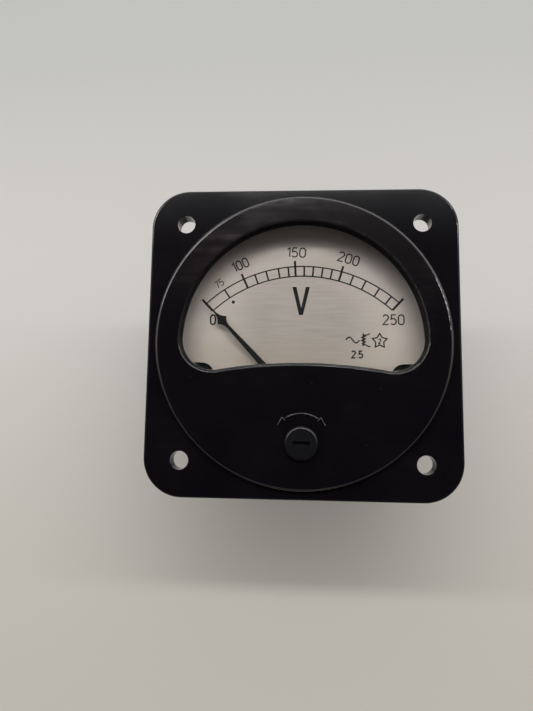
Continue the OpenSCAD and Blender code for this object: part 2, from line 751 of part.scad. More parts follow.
stop_r = 0.5;
stop_reach = 9.6;
stop_angle = zero_angle + over_swing + asin((stop_r + wire_r) / stop_reach) + 0.5;
stop_place = [sin(stop_angle), -cos(stop_angle)] * stop_reach;
module stop_pins() color(steel) upright() at_pivot() pair(stop_place)
    disc(stop_r, plate_back, tail_z + 0.8);

// ---------- the coil ----------
bobbin_r = bobbin_d / 2;
core_r = bobbin_bore / 2 + 1;
winding_r = bobbin_r - 1;
wrap_t = 0.25;
module cheek(from, to) sheet(from, to) union() {
    circle(bobbin_r);
    difference() {
        union() {
            translate([-pillar_x, -3]) square([2 * pillar_x, 6]);
            pair([pillar_x, 0]) circle(3);
        }
        pair([pillar_x, 0]) circle(pillar_r + run_gap);
    }
}
module coil_bobbin() color([0.35, 0.2, 0.1]) upright() at_pivot() difference() {
    union() {
        cheek(coil_front - cheek_t, coil_front);
        cheek(coil_back, coil_back + cheek_t);
        disc(core_r, coil_back, coil_front);
    }
    disc(bobbin_bore / 2, coil_back - over, coil_front + over);
}
module coil_winding() color(copper) upright() at_pivot()
    tube(winding_r - wrap_t, core_r + press_gap, coil_back + cheek_t, coil_front - cheek_t);
module coil_wrap() color([0.75, 0.68, 0.4]) upright() at_pivot()
    tube(winding_r, winding_r - wrap_t + press_gap, coil_back + cheek_t, coil_front - cheek_t);

// ---------- the terminals ----------
head_t = 3;
lug_t = 0.5;
gasket_z = stud_boss_z - 0.8;
module at_studs() pair([stud_pitch / 2, stud_y]) children();
stud_end = -barrel_depth - stud_out;
stud_chamfer = 0.5;
module terminal_studs() color(brass) upright() at_studs() {
    translate([0, 0, floor_z + lug_t]) cylinder(d = 8 / cos(30), h = head_t, $fn = 6);
    disc(stud_d / 2, stud_end + stud_chamfer, floor_z + lug_t + eps);
    translate([0, 0, stud_end])
        cylinder(r1 = stud_d / 2 - stud_chamfer, r2 = stud_d / 2, h = stud_chamfer);
}
module stud_gaskets() color([0.55, 0.1, 0.08]) upright() at_studs()
    tube(stud_d / 2 + 2.6, stud_d / 2 + slide_gap, gasket_z, stud_boss_z);
module terminal_lugs() color(brass) upright() for (side = [-1, 1])
    translate([side * stud_pitch / 2, stud_y]) sheet(floor_z, floor_z + lug_t) difference() {
        union() {
            circle(4.2);
            bar([0, 0], [0, side * 8.6], 3);
        }
        circle(stud_d / 2 + slide_gap);
    }
nut_t = 3.2;
flat_t = 1;
split_t = 1.2;
lock_z = gasket_z - nut_t;
flat_z = lock_z - flat_t;
split_z = flat_z - split_t;
module lock_nuts() color(brass) upright() at_studs() hex_nut(8, stud_d / 2 + press_gap, lock_z, gasket_z);
module flat_washers() color(steel) upright() at_studs()
    tube(stud_d / 2 + 2.5, stud_d / 2 + slide_gap, flat_z, lock_z);
module spring_washers() color(steel) upright() at_studs() difference() {
    tube(stud_d / 2 + 1.9, stud_d / 2 + slide_gap, split_z, flat_z);
    translate([0, 0, split_z - over]) rotate([0, 0, 30]) translate([0, -0.3])
        cube([2 * stud_d, 0.6, split_t + 2 * over]);
}
module terminal_nuts() color(brass) upright() at_studs()
    hex_nut(8, stud_d / 2 + press_gap, split_z - nut_t, split_z);

// ---------- the series resistor and the leads ----------
spool_r = 6;
spool_len = 20;
spool_core_r = 3;
spool_cheek = 1.2;
spool_z = floor_z + spool_len;
module at_spool() translate([0, spool_y]) children();
module resistor_spool() color([0.82, 0.8, 0.74]) upright() at_spool() difference() {
    union() {
        disc(spool_r, floor_z, floor_z + spool_cheek);
        disc(spool_core_r, floor_z, spool_z);
        disc(spool_r, spool_z - spool_cheek, spool_z);
    }
    disc(m3_r + slide_gap, floor_z - over, spool_z + over);
}
module resistor_winding() color([0.4, 0.3, 0.25]) upright() at_spool()
    tube(spool_r - 0.8, spool_core_r + press_gap, floor_z + spool_cheek, spool_z - spool_cheek);
module resistor_screw() color(steel) upright() at_spool()
    screw(m3_r, m3_head_r, m3_head_t, spool_len + spool_bite, spool_z, -1);

// stiff sleeved wires with square bends, listed from the coil's rear cheek or the spool
wire_sleeve_r = 0.45;
tag = [9, 8.2];
back_run = coil_back - 1.6;
rear_run = floor_z + 3.4;
spool_front = spool_z + 1.3;
lead_paths = [
    [[-tag[0], tag[1] - pivot_drop, coil_back], [-tag[0], tag[1] - pivot_drop, rear_run],
     [-stud_pitch / 2, stud_y - 7.2, rear_run], [-stud_pitch / 2, stud_y - 7.2, floor_z + lug_t]],
    [[tag[0], tag[1] - pivot_drop, coil_back], [tag[0], tag[1] - pivot_drop, back_run],
     [tag[0], spool_y, back_run], [tag[0], spool_y, spool_front],
     [spool_r - 1.2, spool_y, spool_front], [spool_r - 1.2, spool_y, spool_z]],
    [[0, spool_y + spool_r - 1.2, spool_z], [0, spool_y + spool_r - 1.2, spool_front],
     [0, spool_y + spool_r + 2, spool_front], [0, spool_y + spool_r + 2, rear_run],
     [stud_pitch / 2, stud_y + 7.2, rear_run], [stud_pitch / 2, stud_y + 7.2, floor_z + lug_t]]];
module rod(a, b, r) {
    run = b - a;
    translate(a) rotate([0, acos(run[2] / norm(run)), atan2(run[1], run[0])])
        cylinder(r = r, h = norm(run), $fn = 24);
}
module lead_wires() color([0.7, 0.6, 0.3]) upright() for (path = lead_paths) {
    for (k = [0:len(path) - 2]) rod(path[k], path[k + 1], wire_sleeve_r);
    for (k = [1:len(path) - 2]) translate(path[k]) sphere(wire_sleeve_r * 1.15, $fn = 24);
}

front_cover();
window_gasket();
window_glass();
glass_retainer();
retainer_screws();
corrector_screw();
corrector_washer();
corrector_clip();
rear_case();
case_screws();
dial_plate();
dial_screws();
movement_plate();
movement_screws();
frame_pillars();
pillar_spacers();
rear_bridge();
pillar_nuts();
bridge_posts();
front_bridge();
bridge_screws();
front_jewel_screw();
front_jewel();
front_jewel_nut();
lever_washer();
rear_jewel_screw();
rear_jewel();
rear_jewel_nut();
zero_lever();
hairspring();
spindle();
spring_collet();
pointer();
pointer_hub();
balance_weights();
iron_carrier();
moving_iron();
fixed_iron();
damping_vane();
damping_chamber();
damper_lid();
damper_screws();
stop_pins();
coil_bobbin();
coil_winding();
coil_wrap();
terminal_studs();
stud_gaskets();
terminal_lugs();
lock_nuts();
flat_washers();
spring_washers();
terminal_nuts();
resistor_spool();
resistor_winding();
resistor_screw();
lead_wires();
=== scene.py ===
"""The looks of a flange-mounted moving-iron voltmeter, dressed over its packed construction.

The object stands upright in the frame's axes: the dial faces -Y, +X is to the reader's right, +Z is up,
and the barrel and its two studs run back along +Y. Lengths are in metres.
"""
import math

import bmesh
import bpy
from mathutils import Matrix, Vector


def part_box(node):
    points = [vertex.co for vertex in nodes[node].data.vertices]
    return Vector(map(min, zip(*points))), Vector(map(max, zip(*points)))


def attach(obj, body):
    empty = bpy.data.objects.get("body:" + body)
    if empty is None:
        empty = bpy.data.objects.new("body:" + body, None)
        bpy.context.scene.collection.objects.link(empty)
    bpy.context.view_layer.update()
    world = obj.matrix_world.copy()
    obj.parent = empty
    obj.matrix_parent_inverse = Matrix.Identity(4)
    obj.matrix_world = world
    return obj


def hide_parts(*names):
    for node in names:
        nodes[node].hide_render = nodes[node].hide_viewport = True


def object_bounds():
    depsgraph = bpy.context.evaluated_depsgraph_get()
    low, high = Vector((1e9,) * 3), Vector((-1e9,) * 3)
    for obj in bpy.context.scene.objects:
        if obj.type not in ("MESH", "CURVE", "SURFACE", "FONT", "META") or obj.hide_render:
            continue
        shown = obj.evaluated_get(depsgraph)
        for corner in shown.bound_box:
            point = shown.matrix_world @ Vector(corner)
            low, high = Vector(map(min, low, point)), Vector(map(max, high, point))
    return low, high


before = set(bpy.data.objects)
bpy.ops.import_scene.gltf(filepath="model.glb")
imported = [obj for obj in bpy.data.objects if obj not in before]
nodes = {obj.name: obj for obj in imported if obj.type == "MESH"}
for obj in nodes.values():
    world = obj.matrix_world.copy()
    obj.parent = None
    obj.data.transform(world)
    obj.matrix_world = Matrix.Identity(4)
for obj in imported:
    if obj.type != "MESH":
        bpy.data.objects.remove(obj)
cad_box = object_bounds()
scene = bpy.context.scene
mm = 0.001


# ---------- The camera ----------
# A reader holds a phone close to the meter, a little below its middle, and looks slightly up and to the
# left. The phone leans half a degree.
eye = Vector((0.15, -142.7, -19.8)) * mm
look = Vector((-0.0656, 0.9915, 0.1133)).normalized()
level = Vector((-0.0077, -0.114, 0.9934)).normalized()
camera = bpy.data.objects.new("reader", bpy.data.cameras.new("reader"))
scene.collection.objects.link(camera)
side = look.cross(level).normalized()
level = side.cross(look)
turn = Matrix((side, level, -look)).transposed().to_4x4()
camera.matrix_world = Matrix.Translation(eye) @ turn
camera.data.sensor_width = 36.0
camera.data.lens = 27.7
camera.data.clip_start = 0.01
scene.camera = camera


# ---------- The studio ----------
# A pale matt board stands behind the studs, and a long strip lamp hangs in front, above the meter. The
# room is lighter above. Glossy surfaces mirror it dimmer, and darkest where the reader stands.
scene.view_settings.view_transform = "Standard"


class Wire:
    """An output of a node, which takes part in arithmetic. Each operation adds a Math node."""

    def __init__(self, tree, socket):
        self.tree = tree
        self.socket = socket

    def part(self, output):
        """Another output of the same node."""
        return Wire(self.tree, self.socket.node.outputs[output])

    def math(self, operation, *others):
        """A Math node with this wire first and the others after it."""
        return self.tree.add("ShaderNodeMath", {"operation": operation}, dict(enumerate((self, *others))))

    def __add__(self, other):
        return self.math("ADD", other)

    def __sub__(self, other):
        return self.math("SUBTRACT", other)

    def __rsub__(self, other):
        return self.tree.add("ShaderNodeMath", {"operation": "SUBTRACT"}, {0: other, 1: self})

    def __mul__(self, other):
        return self.math("MULTIPLY", other)

    def __truediv__(self, other):
        return self.math("DIVIDE", other)

    __radd__ = __add__
    __rmul__ = __mul__


class Tree:
    """A node tree under construction."""

    def __init__(self, tree):
        self.nodes = tree.nodes
        self.links = tree.links

    def add(self, kind, settings=None, sockets=None, output=0):
        """Makes any node: its settings come first, then the values or wires of its sockets."""
        node = self.nodes.new(kind)
        for name, setting in (settings or {}).items():
            setattr(node, name, setting)
        for name, given in (sockets or {}).items():
            for each in given if isinstance(given, list) else [given]:
                if isinstance(each, Wire):
                    self.links.new(each.socket, node.inputs[name])
                else:
                    node.inputs[name].default_value = each
        return Wire(self, node.outputs[output])

    def smooth(self, wire, low, high):
        """0 below low and 1 above high, with an eased step between them."""
        return self.add("ShaderNodeMapRange", {"interpolation_type": "SMOOTHSTEP"},
                        {"Value": wire, "From Min": low, "From Max": high})

    def on_piece(self):
        """The place on the piece, in its own coordinates."""
        return self.add("ShaderNodeTexCoord", output="Object")

    def mix(self, share, first, second):
        """A colour that goes from first to second as the share goes from 0 to 1."""
        # the Mix node takes its two colours at 6 and 7, and gives the result at 2
        return self.add("ShaderNodeMix", {"data_type": "RGBA"}, {0: share, 6: first, 7: second}, output=2)

    def end(self, kind, socket, wire):
        """Makes the tree's last node and joins a wire to it."""
        self.links.new(wire.socket, self.nodes.new(kind).inputs[socket])


room = bpy.data.worlds.new("room")
scene.world = room
room.use_nodes = True
room.node_tree.nodes.clear()
air = Tree(room.node_tree)
towards = air.add("ShaderNodeSeparateXYZ", None, {0: air.add("ShaderNodeTexCoord")})
ahead = -1.0 * towards.part("Y")
upward = towards.part("Z")
reader_shade = air.smooth(ahead, 0.78, 0.93) * (1.0 - air.smooth(upward, 0.28, 0.6))
camera_ray = air.add("ShaderNodeLightPath")
glossy_ray = camera_ray.part("Is Glossy Ray")
lower_light = 0.29
upper_light = 0.84
mirrored = 0.8 * (0.3 + 0.7 * air.smooth(upward, -0.25, 0.15)) * (1.0 - 0.95 * reader_shade)
brightness = lower_light + upper_light * air.smooth(upward, -0.1, 0.65)
brightness = brightness * (1.0 - glossy_ray * (1.0 - mirrored))
tint = air.mix(air.smooth(upward, -0.6, 0.6), (1.0, 0.95, 0.9, 1.0), (0.97, 0.98, 1.0, 1.0))
sky = air.add("ShaderNodeBackground", None, {"Color": tint, "Strength": brightness})
paper = air.add("ShaderNodeBackground", None, {"Color": (0.58, 0.56, 0.53, 1.0), "Strength": 1.0})
shown = air.add("ShaderNodeMixShader", None, {0: camera_ray, 1: sky, 2: paper})
air.end("ShaderNodeOutputWorld", "Surface", shown)


def lamp(name, place, width, height, watts, colour):
    """A soft lamp that faces the middle of the dial, with its width level."""
    light = bpy.data.lights.new(name, "AREA")
    light.shape = "RECTANGLE"
    light.size = width
    light.size_y = height
    light.energy = watts
    light.color = colour
    holder = bpy.data.objects.new(name, light)
    holder.location = place
    holder.rotation_euler = (-Vector(place)).to_track_quat("-Z", "Y").to_euler()
    scene.collection.objects.link(holder)


tube_white = (1.0, 0.985, 0.96)
lamp("strip_lamp", (0.0, -0.5, 0.295), 1.4, 0.04, 2.8, tube_white)
lamp("middle_lamp", (0.05, -0.5, 0.295), 0.3, 0.06, 0.2, tube_white)
lamp("rear_fill", (-0.3, 0.6, 0.45), 0.5, 0.5, 5.0, (1.0, 0.98, 0.95))


def finish_named(name):
    """A new material and its tree, with nothing in it yet."""
    material = bpy.data.materials.new(name)
    material.use_nodes = True
    material.node_tree.nodes.clear()
    return material, Tree(material.node_tree)


def surface(tree, shader):
    """Ends a material's tree with its shader."""
    tree.end("ShaderNodeOutputMaterial", "Surface", shader)


board_half = 0.9
board_y = cad_box[1][1] + 1.0 * mm
corners = ((-1, -1), (1, -1), (1, 1), (-1, 1))
board_mesh = bpy.data.meshes.new("backdrop")
board_mesh.from_pydata([(x * board_half, board_y, z * board_half) for x, z in corners], [], [(0, 1, 2, 3)])
backdrop = bpy.data.objects.new("backdrop", board_mesh)
scene.collection.objects.link(backdrop)
board_paint, tree = finish_named("matt_board")
where = tree.on_piece()
height = tree.add("ShaderNodeSeparateXYZ", None, {0: where}).part("Z")
speck = tree.add("ShaderNodeTexNoise", None, {"Vector": where, "Scale": 900.0, "Detail": 3.0})
cloud = tree.add("ShaderNodeTexNoise", None, {"Vector": where, "Scale": 6.0, "Detail": 2.0})
low_tone = (0.575, 0.55, 0.495, 1.0)
middle_tone = (0.675, 0.65, 0.632, 1.0)
shaded_high_tone = (0.5, 0.51, 0.49, 1.0)
fibre_tone = (0.6, 0.57, 0.52, 1.0)
# the board turns warmer and a little darker towards the bottom, and darker above the meter as a painted
# shade
tone = tree.mix(tree.smooth(height, -120.0 * mm, 90.0 * mm), low_tone, middle_tone)
tone = tree.mix(tree.smooth(height, 10.0 * mm, 150.0 * mm), tone, shaded_high_tone)
tone = tree.mix(0.08 * speck + 0.1 * cloud, tone, fibre_tone)
matt = tree.add("ShaderNodeBsdfPrincipled", None, {"Base Color": tone, "Roughness": 0.9})
# the board's back is clear, so that it doesn't hide the meter from behind
board_back = tree.add("ShaderNodeNewGeometry", output="Backfacing")
clear = tree.add("ShaderNodeBsdfTransparent")
surface(tree, tree.add("ShaderNodeMixShader", None, {0: board_back, 1: matt, 2: clear}))
board_mesh.materials.append(board_paint)
backdrop.visible_shadow = False


# ---------- The moulded case ----------
# Flange, round front and rear barrel are pressed from black wood-filled phenolic. The front comes from a
# polished mould, glossy with faint flow streaks and handling marks; the barrel is a little duller. The upper
# half of the raised front is painted a lighter haze as a painted sheen, and a thin band along its edge is
# painted light grey, brightest at the top, as a painted highlight.
cover_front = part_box("front_cover")[0].y
glass_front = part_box("window_gasket")[0].y
face_radius = 37.0 * mm
# a thin band along the raised front's edge is painted light grey as a painted highlight
highlight_from = 37.04 * mm
highlight_to = 37.28 * mm
highlight_ease = 0.08 * mm
window_reach = 34.5 * mm


def front_finish(tree, where):
    """Masks of the raised front's painted upper sheen, its painted edge highlight and the window's
    unpolished wall.
    """
    place = tree.add("ShaderNodeSeparateXYZ", None, {0: where})
    height = place.part("Z")
    radius = (place * place + height * height).math("SQRT")
    depth = place.part("Y") - cover_front
    wall_depth = glass_front - cover_front
    face = 1.0 - tree.smooth(radius, face_radius - 0.2 * mm, face_radius)
    face = face * (1.0 - tree.smooth(depth, 0.1 * mm, 0.3 * mm))
    # painted sheen: the raised front is made lighter over its upper half, standing in for the lamp's glow
    # there
    upper_sheen = face * tree.smooth(height, 4.0 * mm, 26.0 * mm)
    # painted highlight: the thin edge band is made light grey, brighter towards the top, where the lamp's
    # highlight falls
    wear_and_highlight = tree.smooth(radius, highlight_from, highlight_from + highlight_ease)
    wear_and_highlight = wear_and_highlight * (1.0 - tree.smooth(radius, highlight_to - highlight_ease, highlight_to))
    wear_and_highlight = wear_and_highlight * (0.25 + 0.75 * tree.smooth(height, -24.0 * mm, 16.0 * mm))
    wear_and_highlight = wear_and_highlight * (1.0 - tree.smooth(depth, 0.5 * mm, 0.7 * mm))
    wall = tree.smooth(depth, 0.32 * mm, 0.42 * mm)
    wall = wall * (1.0 - tree.smooth(depth, wall_depth - 0.3 * mm, wall_depth))
    wall = wall * (1.0 - tree.smooth(radius, window_reach - 1.5 * mm, window_reach))
    return upper_sheen, wear_and_highlight, wall


def phenolic(name, roughness, streak, grain, finish=None):
    """Black phenolic with flow streaks, a faint film and dust. The finish tells where a painted sheen and a
    painted highlight go and where it is dull.
    """
    material, tree = finish_named(name)
    where = tree.on_piece()
    flow = tree.add("ShaderNodeTexNoise", None, {
        "Vector": where, "Scale": 55.0, "Detail": 4.0, "Roughness": 0.6})
    drawn = tree.add("ShaderNodeMapping", None, {"Vector": where, "Scale": (60.0, 200.0, 500.0)})
    wipes = tree.add("ShaderNodeTexNoise", None, {"Vector": drawn, "Scale": 1.0, "Detail": 4.0})
    peel = tree.add("ShaderNodeTexNoise", None, {"Vector": where, "Scale": 1400.0, "Detail": 2.0})
    specks = tree.add("ShaderNodeTexVoronoi", None, {"Vector": where, "Scale": 260.0})
    dust = 1.0 - tree.smooth(specks, 0.02, 0.045)
    film = tree.smooth(wipes, 0.42, 0.75) * tree.smooth(flow, 0.36, 0.66)
    black = (0.0034, 0.0027, 0.004, 1.0)
    streaked = (0.0052, 0.0042, 0.0058, 1.0)
    film_and_sheen_tone = (0.026, 0.02, 0.0205, 1.0)
    edge_highlight_tone = (0.13, 0.12, 0.11, 1.0)
    dusty = (0.09, 0.085, 0.08, 1.0)
    colour = tree.mix(tree.smooth(flow, 0.35, 0.75), black, streaked)
    upper_sheen, wear_and_highlight, wall = finish(tree, where) if finish else (0.0, 0.0, 0.0)
    # the faint film everywhere is the moulding's own; over the upper front it adds a painted sheen, streaked
    # by the film
    colour = tree.mix(film * 0.06 + film * upper_sheen * 0.7 + 0.22 * upper_sheen, colour, film_and_sheen_tone)
    # painted highlight along the raised front's edge
    colour = tree.mix(wear_and_highlight, colour, edge_highlight_tone)
    colour = tree.mix(0.2 * dust, colour, dusty)
    dulled = roughness + streak * tree.smooth(flow, 0.4, 0.8) * (0.25 + 0.75 * upper_sheen)
    dulled = dulled + 0.6 * streak * film * upper_sheen + 0.1 * dust
    bump = tree.add("ShaderNodeBump", None, {
        "Strength": 0.35, "Distance": grain, "Height": peel + 0.4 * wipes})
    shown = tree.add("ShaderNodeBsdfPrincipled", None, {
        "Base Color": colour, "Roughness": dulled, "IOR": 1.56, "Normal": bump})
    if finish:
        dull = tree.add("ShaderNodeBsdfPrincipled", None, {
            "Base Color": colour, "Roughness": 0.6, "Specular IOR Level": 0.12, "Normal": bump})
        shown = tree.add("ShaderNodeMixShader", None, {0: wall, 1: shown, 2: dull})
    surface(tree, shown)
    return material


def dress(material, *names):
    """Gives a material to pieces that come from the construction as they are."""
    for name in names:
        mesh = nodes[name].data
        mesh.materials.clear()
        mesh.materials.append(material)


polished = phenolic("polished_phenolic", 0.07, 0.06, 0.003 * mm, front_finish)
dress(polished, "front_cover")
dress(phenolic("moulded_phenolic", 0.3, 0.12, 0.012 * mm), "rear_case")
dress(phenolic("corrector_phenolic", 0.27, 0.08, 0.008 * mm), "corrector_screw")


# ---------- The adjuster's sign ----------
# A curved double arrow over the zero adjuster is moulded on the front, as a low rib with soft edges. The
# whole rib is painted light grey as a painted highlight, with a rubbed mottle of wear in it.
def solid_from(name, outlines, low, high, material):
    """Outlines, as lists of (x, z) or as pairs of rings, raised between two depths in front of y = 0."""
    shape = bmesh.new()

    def band(first, second):
        for k in range(len(first)):
            after = (k + 1) % len(first)
            shape.faces.new((first[k], first[after], second[after], second[k]))

    for outline in outlines:
        rings = outline if isinstance(outline, tuple) else (outline,)
        levels = [[[shape.verts.new((x, -depth, z)) for x, z in ring] for depth in (low, high)]
                  for ring in rings]
        for back, front in levels:
            band(back, front)
        if len(rings) == 2:
            band(levels[0][0], levels[1][0])
            band(levels[0][1], levels[1][1])
        else:
            shape.faces.new(levels[0][1])
            shape.faces.new(levels[0][0][::-1])
    bmesh.ops.recalc_face_normals(shape, faces=shape.faces)
    bmesh.ops.triangulate(shape, faces=[face for face in shape.faces if len(face.verts) > 4])
    mesh = bpy.data.meshes.new(name)
    shape.to_mesh(mesh)
    shape.free()
    mesh.materials.append(material)
    piece = bpy.data.objects.new(name, mesh)
    scene.collection.objects.link(piece)
    return piece


def on_circle(centre, radius, degrees):
    """A point on a circle, by its angle clockwise from straight up."""
    angle = math.radians(degrees)
    return centre[0] + radius * math.sin(angle), centre[1] + radius * math.cos(angle)


def arc(centre, radius, start, end, steps):
    """Points along an arc, with its angles in degrees as on_circle has them."""
    return [on_circle(centre, radius, start + (end - start) * k / steps) for k in range(steps + 1)]


def stroke(points, width, closed=False):
    """The outline of a line of even width with round ends, or its two rings where it is closed. A corner
    stands out to the full width at most."""
    half = width / 2
    count = len(points)
    cap_steps = 6
    left, right = [], []
    for k, point in enumerate(points):
        before = points[k - 1] if k or closed else point
        after = points[(k + 1) % count] if k < count - 1 or closed else point
        into = Vector(point) - Vector(before)
        out = Vector(after) - Vector(point)
        into = into.normalized() if into.length else out.normalized()
        out = out.normalized() if out.length else into
        bend = into + out
        bend = bend.normalized() if bend.length > 0.2 else into
        across = Vector((-bend.y, bend.x))
        reach = half / max(0.5, abs(across.dot(Vector((-into.y, into.x)))))
        left.append(Vector(point) + across * reach)
        right.append(Vector(point) - across * reach)
    if closed:
        return left, right
    caps = []
    for end, inner in ((points[-1], points[-2]), (points[0], points[1])):
        way = (Vector(end) - Vector(inner)).normalized()
        start = math.atan2(way.x, -way.y) + math.pi
        turns = [start - math.pi * k / cap_steps for k in range(1, cap_steps)]
        caps.append([Vector(end) + half * Vector((math.cos(turn), math.sin(turn))) for turn in turns])
    return left + caps[0] + right[::-1] + caps[1]


adjuster_low, adjuster_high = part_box("corrector_screw")
adjuster = (0.0, (adjuster_low.z + adjuster_high.z) / 2)
worn_rib, tree = finish_named("worn_rib")
where = tree.on_piece()
rub = tree.add("ShaderNodeTexNoise", None, {"Vector": where, "Scale": 700.0, "Detail": 3.0})
# painted highlight: the rib is light grey all over, mottled by rubbed wear
rubbed_highlight_tone = tree.mix(tree.smooth(rub, 0.3, 0.7), (0.03, 0.029, 0.028, 1.0), (0.085, 0.082, 0.08, 1.0))
surface(tree, tree.add("ShaderNodeBsdfPrincipled", None, {
    "Base Color": rubbed_highlight_tone, "Roughness": 0.25 + 0.2 * rub}))
sign_radius = 7.35 * mm
arc_half = 34.0
arc_width = 0.3 * mm
head_width = 0.2 * mm
rooted = 0.1 * mm
relief = 0.34 * mm
soft_edge = 0.1 * mm
sign = [stroke(arc(adjuster, sign_radius, -arc_half, arc_half, 24), arc_width)]
for way in (-1, 1):
    inner = on_circle(adjuster, sign_radius - 0.55 * mm, way * 36.0)
    outer = on_circle(adjuster, sign_radius + 0.65 * mm, way * 37.0)
    tip = on_circle(adjuster, sign_radius, way * 54.0)
    sign.append(stroke([inner, outer], head_width))
    sign.append(stroke([outer, tip], head_width))
arrow = solid_from("adjuster_sign", sign, -cover_front - rooted, -cover_front + relief, worn_rib)
soften = arrow.modifiers.new("soft_edges", "BEVEL")
soften.width = soft_edge
soften.segments = 3
soften.limit_method = "ANGLE"
soften.harden_normals = True
arrow.data.shade_smooth()
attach(arrow, "case")


# ---------- The window ----------
# A flat pane lies behind the cover's wall on a thin black gasket, and a blackened steel retainer with two
# small screws presses it in. The pane is clean, with a faint green body.
def glass(name, colour, ior):
    """Clear glass or stone, which lets light through to what lies behind it without a shadow."""
    material, tree = finish_named(name)
    pane = tree.add("ShaderNodeBsdfPrincipled", None, {
        "Base Color": colour, "Roughness": 0.0, "IOR": ior, "Transmission Weight": 1.0})
    shadow_ray = tree.add("ShaderNodeLightPath", output="Is Shadow Ray")
    clear = tree.add("ShaderNodeBsdfTransparent", None, {"Color": colour})
    surface(tree, tree.add("ShaderNodeMixShader", None, {0: shadow_ray, 1: pane, 2: clear}))
    return material


def plain(name, colour, other, roughness, metallic=0.0, scale=300.0, bump=0.0):
    """A worked finish: two tones in fine clouds, with the roughness and a little relief following them."""
    material, tree = finish_named(name)
    where = tree.on_piece()
    cloud = tree.add("ShaderNodeTexNoise", None, {
        "Vector": where, "Scale": scale, "Detail": 4.0, "Roughness": 0.6})
    fine = tree.add("ShaderNodeTexNoise", None, {"Vector": where, "Scale": scale * 9.0, "Detail": 2.0})
    sockets = {"Base Color": tree.mix(tree.smooth(cloud, 0.3, 0.7), colour, other),
               "Roughness": roughness + 0.12 * (fine - 0.5), "Metallic": metallic}
    if bump:
        sockets["Normal"] = tree.add("ShaderNodeBump", None, {
            "Strength": 0.5, "Distance": bump, "Height": fine + 0.5 * cloud})
    surface(tree, tree.add("ShaderNodeBsdfPrincipled", None, sockets))
    return material


def matt_black(name, colour, wear_and_highlight):
    """A matt black finish that hardly shines, with lighter wear in places."""
    material, tree = finish_named(name)
    where = tree.on_piece()
    wear = tree.add("ShaderNodeTexNoise", None, {"Vector": where, "Scale": 1500.0, "Detail": 3.0})
    tone = tree.mix(tree.smooth(wear, 0.35, 0.75), colour, wear_and_highlight)
    surface(tree, tree.add("ShaderNodeBsdfPrincipled", None, {
        "Base Color": tone, "Roughness": 0.6 + 0.1 * wear, "Specular IOR Level": 0.12}))
    return material


dress(glass("window_pane", (0.97, 0.985, 0.975, 1.0), 1.52), "window_glass")
dress(plain("gasket_rubber", (0.012, 0.012, 0.012, 1), (0.02, 0.019, 0.018, 1), 0.7, bump=0.01 * mm),
      "window_gasket")
black_oxide = matt_black("black_oxide", (0.004, 0.004, 0.0045, 1), (0.01, 0.0095, 0.009, 1))
dress(black_oxide, "glass_retainer", "movement_plate", "movement_screws")


# ---------- The turned and stamped metal parts ----------
# Screws, washers and springs are bright steel, turned or stamped; bearings, posts, nuts and lugs are
# brass with a brown film; the damper and its vane are pressed from soft aluminium.
steel = plain("bright_steel", (0.42, 0.42, 0.43, 1), (0.56, 0.55, 0.54, 1), 0.34, 1.0, 900.0, 0.002 * mm)
brass = plain("aged_brass", (0.58, 0.4, 0.16, 1), (0.72, 0.54, 0.26, 1), 0.33, 1.0, 500.0, 0.002 * mm)
aluminium = plain("pressed_aluminium", (0.66, 0.66, 0.66, 1), (0.76, 0.76, 0.75, 1), 0.42, 1.0, 700.0,
                  0.003 * mm)
blued = plain("blued_spring", (0.12, 0.14, 0.24, 1), (0.2, 0.22, 0.34, 1), 0.25, 1.0, 1200.0)
dress(steel, "retainer_screws", "corrector_washer", "corrector_clip", "case_screws", "dial_screws",
      "pillar_nuts", "bridge_screws", "lever_washer", "zero_lever", "spindle", "moving_iron", "fixed_iron",
      "damper_screws", "stop_pins", "flat_washers", "spring_washers", "resistor_screw")
dress(brass, "frame_pillars", "pillar_spacers", "rear_bridge", "bridge_posts", "front_bridge",
      "front_jewel_screw", "front_jewel_nut", "rear_jewel_screw", "rear_jewel_nut", "spring_collet",
      "pointer_hub", "balance_weights", "terminal_lugs", "lock_nuts", "terminal_nuts")
dress(aluminium, "iron_carrier", "damping_vane", "damping_chamber", "damper_lid")
dress(blued, "hairspring")
dress(glass("jewel_ruby", (0.8, 0.06, 0.16, 1.0), 1.76), "front_jewel", "rear_jewel")


# ---------- The terminal studs ----------
# Two brass studs with a rolled metric thread stand out of the rear wall. Each has a hexagonal head inside
# the case, on a solder lug, and carries a gasket, a lock nut, two washers and a terminal nut.
def grow(name, seeds, inputs, shape, material):
    """A piece that a node tree makes on seed points: shape() lays the tree out from its named inputs."""
    group = bpy.data.node_groups.new(name, "GeometryNodeTree")
    face = group.interface
    face.new_socket("Shape", in_out="OUTPUT", socket_type="NodeSocketGeometry")
    face.new_socket("Seeds", in_out="INPUT", socket_type="NodeSocketGeometry")
    kinds = {int: "NodeSocketInt", float: "NodeSocketFloat", tuple: "NodeSocketVector"}
    for label, size in inputs.items():
        face.new_socket(label, in_out="INPUT", socket_type=kinds[type(size)])
    tree = Tree(group)
    entry = group.nodes.new("NodeGroupInput")
    given = {socket.name: Wire(tree, socket) for socket in entry.outputs if socket.name}
    whole = tree.add("GeometryNodeRealizeInstances", None, {"Geometry": shape(tree, given)})
    whole = tree.add("GeometryNodeSetMaterial", None, {"Geometry": whole, "Material": material})
    tree.end("NodeGroupOutput", "Shape", whole)
    mesh = bpy.data.meshes.new(name + "_seeds")
    mesh.from_pydata(seeds, [], [])
    holder = bpy.data.objects.new(name + "_seeds", mesh)
    scene.collection.objects.link(holder)
    maker = holder.modifiers.new("shape", "NODES")
    maker.node_group = group
    for item in face.items_tree:
        if item.in_out == "INPUT" and item.name in inputs:
            maker[item.identifier] = inputs[item.name]
    made = bpy.data.meshes.new_from_object(holder.evaluated_get(bpy.context.evaluated_depsgraph_get()))
    holder.modifiers.remove(maker)
    bpy.data.objects.remove(holder)
    piece = bpy.data.objects.new(name, made)
    scene.collection.objects.link(piece)
    return piece


